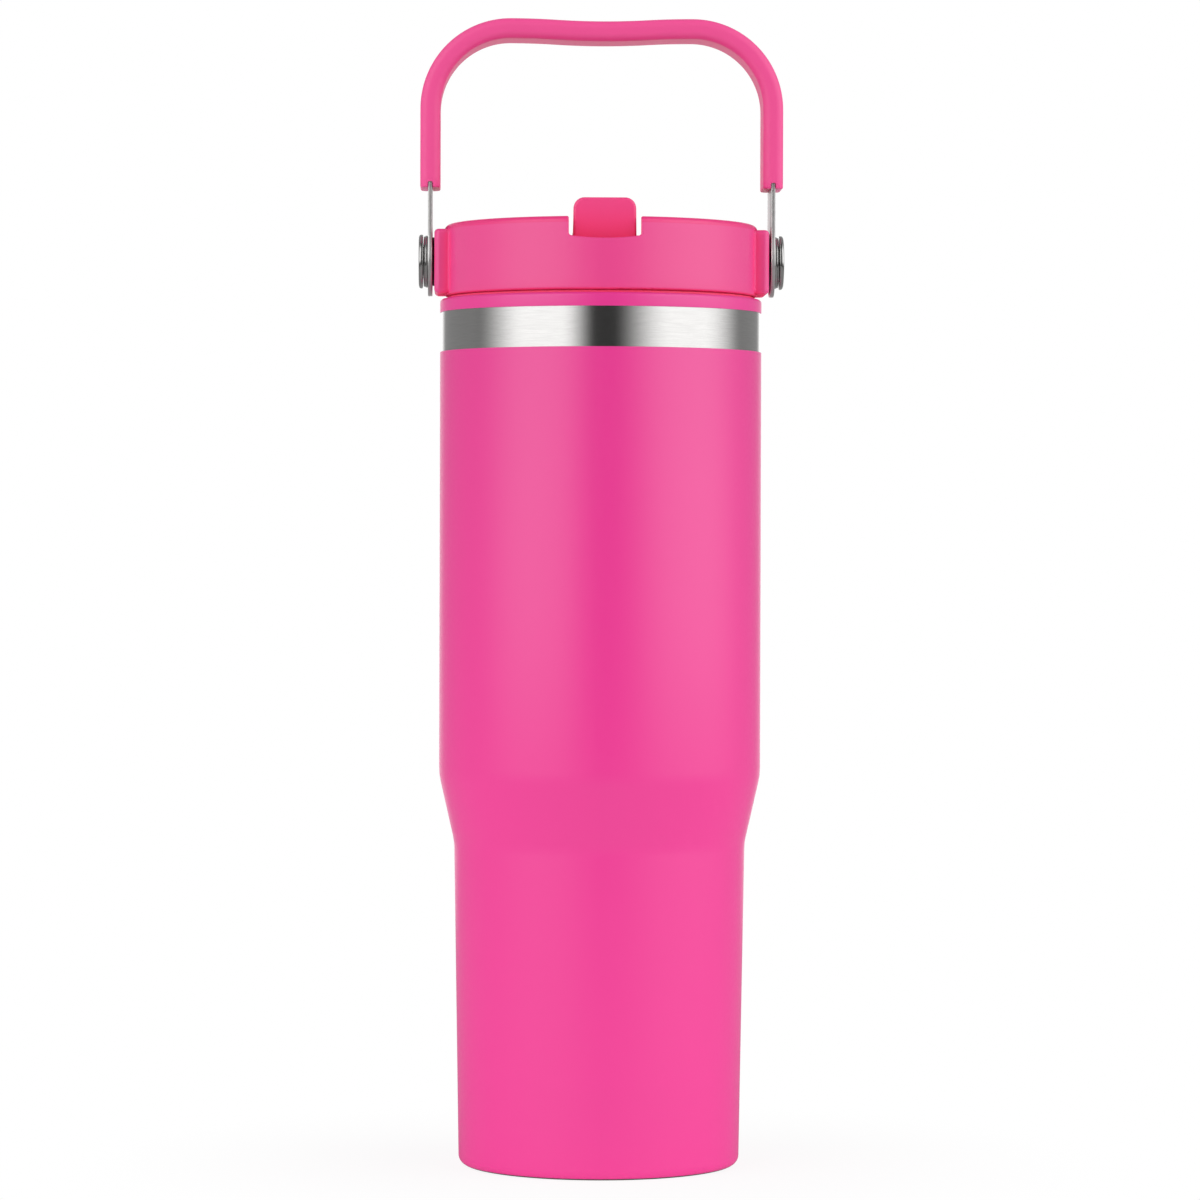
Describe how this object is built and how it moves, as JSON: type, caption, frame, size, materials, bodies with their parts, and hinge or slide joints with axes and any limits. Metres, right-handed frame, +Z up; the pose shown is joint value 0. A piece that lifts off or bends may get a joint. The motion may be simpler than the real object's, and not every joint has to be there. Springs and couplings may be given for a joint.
{
  "type": "insulated tumbler with lid",
  "caption": "Vacuum-insulated steel tumbler with a cup-holder foot, a screw lid, a flip-up drinking spout with a straw and a swinging carry handle.",
  "frame": {"origin": "centre of the standing ring, on the surface the flask stands on", "axes": "+Z up along the flask's axis, +X along the handle's pivot axis to the right, -Y towards the front, where the spout's thumb tab is"},
  "size_m": [0.102, 0.09, 0.3203],
  "materials": {
    "powder_coat": "fine-textured satin powder coating",
    "steel": "brushed",
    "strap_steel": "brushed",
    "lid_plastic": "matte moulded",
    "plug_plastic": "matte moulded",
    "spout_plastic": "matte moulded",
    "grip_plastic": "soft matte",
    "silicone": "matte silicone",
    "straw_plastic": "translucent",
    "black_nylon": "matte moulded",
    "brass": "turned",
    "base_cover": "matte",
    "solder_glass": "glossy bead",
    "getter_alloy": "sintered"
  },
  "bodies": {
    "flask": {"outer_shell": "steel", "body_coating": "powder_coat", "rim_coating": "powder_coat", "base_plate": "steel", "vacuum_seal": "solder_glass", "base_cover": "base_cover", "liner_tube": "steel", "liner_base": "steel", "getter": "getter_alloy"},
    "seal": {"lid_seal": "silicone"},
    "lid": {"lid_housing": "lid_plastic", "lid_plug": "plug_plastic", "spout_gasket": "silicone", "air_valve": "silicone", "straw": "straw_plastic", "spout_pins": "steel", "pivot_inserts": "brass", "pivot_studs": "steel", "disc_springs": "steel", "head_washers": "steel", "inner_washers": "black_nylon"},
    "spout": {"flip_spout": "spout_plastic"},
    "handle": {"handle_strap": "strap_steel", "handle_grip": "grip_plastic", "eye_bushes": "black_nylon"}
  },
  "joints": [
    {"name": "lid_lift", "type": "slide", "parent": "flask", "child": "seal", "axis": [0, 0, 1], "range_m": [0, 0.0241]},
    {"name": "lid_turn", "type": "hinge", "parent": "seal", "child": "lid", "pos_m": [0, 0, 0], "axis": [0, 0, 1], "range_deg": [0, 1080]},
    {"name": "handle_swing", "type": "hinge", "parent": "lid", "child": "handle", "pos_m": [0, 0, 0.2528], "axis": [1, 0, 0], "range_deg": [-125, 125]},
    {"name": "spout_flip", "type": "hinge", "parent": "lid", "child": "spout", "pos_m": [0, 0.007, 0.254], "axis": [-1, 0, 0], "range_deg": [0, 90]}
  ],
  "couplings": [
    {"joint": "lid_lift", "follows": "lid_turn", "m_per_rad": 0.0012732}
  ]
}
